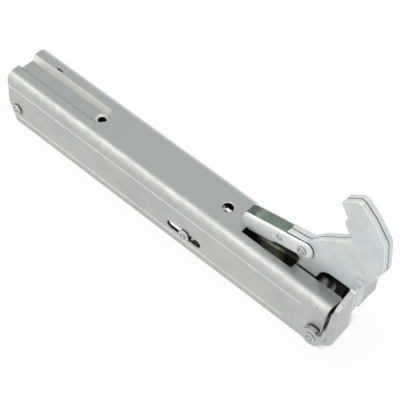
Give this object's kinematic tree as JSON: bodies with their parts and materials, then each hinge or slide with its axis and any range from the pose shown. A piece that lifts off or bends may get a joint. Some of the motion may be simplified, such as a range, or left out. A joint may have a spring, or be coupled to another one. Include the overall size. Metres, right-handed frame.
{
  "type": "oven door hinge",
  "caption": "Sprung oven door hinge: folded steel channel, swinging double claw with end flanges, flip-over lock lever, extension spring, links and cam roller.",
  "frame": {"origin": "middle of the hinge's overall box, at the level of the channel's open lower edges", "axes": "+X along the channel from its spring end to the claw, +Z from the channel's open side out of its web, Y across it"},
  "size_m": [0.204, 0.0318, 0.0874],
  "materials": {
    "housing_steel": "bright zinc-plated sheet",
    "claw_zinc": "white zinc-plated plate",
    "lever_zinc": "zinc-plated sheet",
    "link_zinc": "yellow zinc-plated plate",
    "pin_steel": "turned steel",
    "spring_steel": "drawn spring wire"
  },
  "bodies": {
    "housing": {"housing_channel": "housing_steel", "anchor_pin": "pin_steel", "anchor_bush": "pin_steel", "spring": "spring_steel", "pivot_pin": "pin_steel", "pivot_bush": "pin_steel"},
    "claw": {"claw_near": "claw_zinc", "claw_far": "claw_zinc", "lever_rivet": "pin_steel"},
    "lever": {"lock_lever": "lever_zinc"},
    "slide": {"slide_pin": "pin_steel", "slide_bush": "pin_steel", "slide_spacer_near": "pin_steel", "slide_spacer_far": "pin_steel", "link_near": "link_zinc", "link_far": "link_zinc", "roller_pin": "pin_steel"},
    "cam_roller": {"roller": "pin_steel"}
  },
  "joints": [
    {"name": "claw_swing", "type": "hinge", "parent": "housing", "child": "claw", "pos_m": [0.08245, 0, 0.0083], "axis": [0, 1, 0], "range_deg": [0, 86], "stiffness_Nm_per_rad": 0.5, "springref_deg": -34.38},
    {"name": "lever_flip", "type": "hinge", "parent": "claw", "child": "lever", "pos_m": [0.06465, 0, 0.0403], "axis": [0, 1, 0], "range_deg": [0, 125]},
    {"name": "spring_slide", "type": "slide", "parent": "housing", "child": "slide", "axis": [1, 0, 0], "range_m": [0, 0.00695], "deforming": ["spring"]},
    {"name": "roller_spin", "type": "hinge", "parent": "slide", "child": "cam_roller", "pos_m": [0.07445, 0, 0.0203], "axis": [0, 1, 0], "range_deg": [0, 245]}
  ],
  "couplings": [
    {"joint": "spring_slide", "follows": "claw_swing", "m_per_rad": 0.004597},
    {"joint": "roller_spin", "follows": "claw_swing", "ratio": 2.8}
  ]
}
